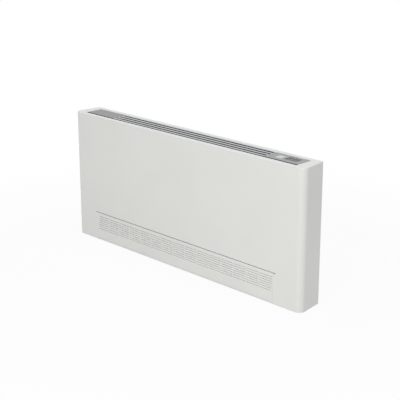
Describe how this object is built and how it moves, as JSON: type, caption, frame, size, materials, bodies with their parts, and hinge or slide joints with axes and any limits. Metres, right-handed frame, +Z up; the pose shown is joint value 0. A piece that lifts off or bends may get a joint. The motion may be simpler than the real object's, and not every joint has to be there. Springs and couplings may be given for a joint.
{
  "type": "fan coil unit",
  "caption": "Slim floor-standing fan coil unit with rounded front, slotted intake panel low in front, outlet bars and control plate on top.",
  "frame": {"origin": "middle of the footprint, on the floor", "axes": "+X along the width to the right seen from the front, +Y from the front face to the wall, +Z up"},
  "size_m": [1.335, 0.131, 0.579],
  "materials": {
    "white_paint": "satin warm white powder coat",
    "white_plastic": "satin white",
    "grey_plastic": "fine-textured light grey",
    "dark_plastic": "matt dark grey",
    "key_plastic": "matt grey",
    "box_plastic": "matt light grey",
    "fan_plastic": "matt black",
    "window": "glossy pale grey",
    "board": "green solder mask",
    "aluminium": "satin anodised",
    "fins": "mill finish",
    "galvanised": "galvanised sheet",
    "steel": "bright zinc",
    "magnet": "dark grey",
    "motor_case": "dark grey",
    "copper": "bare copper",
    "brass": "bare brass",
    "rubber": "matt black",
    "mesh": "woven net"
  },
  "bodies": {
    "cabinet": {"front_cover": "white_paint", "hinge_brackets": "galvanised", "side_panel_left": "white_paint", "side_panel_right": "white_paint", "top_surround": "white_plastic", "back_panel": "galvanised", "pipe_plate": "galvanised", "frame_rails": "galvanised", "bulkhead_left": "galvanised", "bulkhead_right": "galvanised", "left_top_plate": "grey_plastic", "control_plate": "grey_plastic", "gap_seal": "rubber", "display_window": "window", "keypad_frame": "dark_plastic", "circuit_board": "board", "outlet_bars": "aluminium", "outlet_ends": "aluminium", "outlet_tie_rods": "aluminium", "magnet_catches": "magnet", "coil_fins": "fins", "coil_end_plates": "galvanised", "coil_tubes": "copper", "flow_pipe": "brass", "return_pipe": "brass", "air_vent": "brass", "drain_cock": "brass", "condensate_tray": "galvanised", "drain_spout": "dark_plastic", "rear_guide": "galvanised", "front_guide": "galvanised", "fan_bearing": "steel", "bearing_rubber": "rubber", "fan_motor": "motor_case", "motor_rubber": "rubber", "motor_bracket": "galvanised", "electrical_box": "box_plastic", "electrical_lid": "box_plastic", "terminal_block": "box_plastic", "cable_grommet": "rubber", "frame_screws": "steel", "lid_screws": "steel"},
    "fan_rotor": {"crossflow_fan": "fan_plastic", "motor_shaft": "steel"},
    "intake_panel": {"intake_grille": "white_paint"},
    "filter": {"filter_frame": "dark_plastic", "filter_mesh": "mesh"},
    "key_minus_cap": {"key_minus": "key_plastic"},
    "key_plus_cap": {"key_plus": "key_plastic"},
    "key_power_cap": {"key_power": "key_plastic"},
    "key_mode_cap": {"key_mode": "key_plastic"},
    "key_fan_cap": {"key_fan": "key_plastic"},
    "key_timer_cap": {"key_timer": "key_plastic"}
  },
  "joints": [
    {"name": "fan_spin", "type": "hinge", "parent": "cabinet", "child": "fan_rotor", "pos_m": [0, 0.006, 0.44], "axis": [1, 0, 0], "continuous": true},
    {"name": "intake_tilt", "type": "hinge", "parent": "cabinet", "child": "intake_panel", "pos_m": [0, -0.0615, 0.011], "axis": [1, 0, 0], "range_deg": [0, 80]},
    {"name": "filter_lift", "type": "slide", "parent": "intake_panel", "child": "filter", "axis": [0, 0, 1], "range_m": [0, 0.118]},
    {"name": "key_minus_press", "type": "slide", "parent": "cabinet", "child": "key_minus_cap", "axis": [0, 0, -1], "range_m": [0, 0.0008], "stiffness_N_per_m": 400},
    {"name": "key_plus_press", "type": "slide", "parent": "cabinet", "child": "key_plus_cap", "axis": [0, 0, -1], "range_m": [0, 0.0008], "stiffness_N_per_m": 400},
    {"name": "key_power_press", "type": "slide", "parent": "cabinet", "child": "key_power_cap", "axis": [0, 0, -1], "range_m": [0, 0.0008], "stiffness_N_per_m": 400},
    {"name": "key_mode_press", "type": "slide", "parent": "cabinet", "child": "key_mode_cap", "axis": [0, 0, -1], "range_m": [0, 0.0008], "stiffness_N_per_m": 400},
    {"name": "key_fan_press", "type": "slide", "parent": "cabinet", "child": "key_fan_cap", "axis": [0, 0, -1], "range_m": [0, 0.0008], "stiffness_N_per_m": 400},
    {"name": "key_timer_press", "type": "slide", "parent": "cabinet", "child": "key_timer_cap", "axis": [0, 0, -1], "range_m": [0, 0.0008], "stiffness_N_per_m": 400}
  ]
}
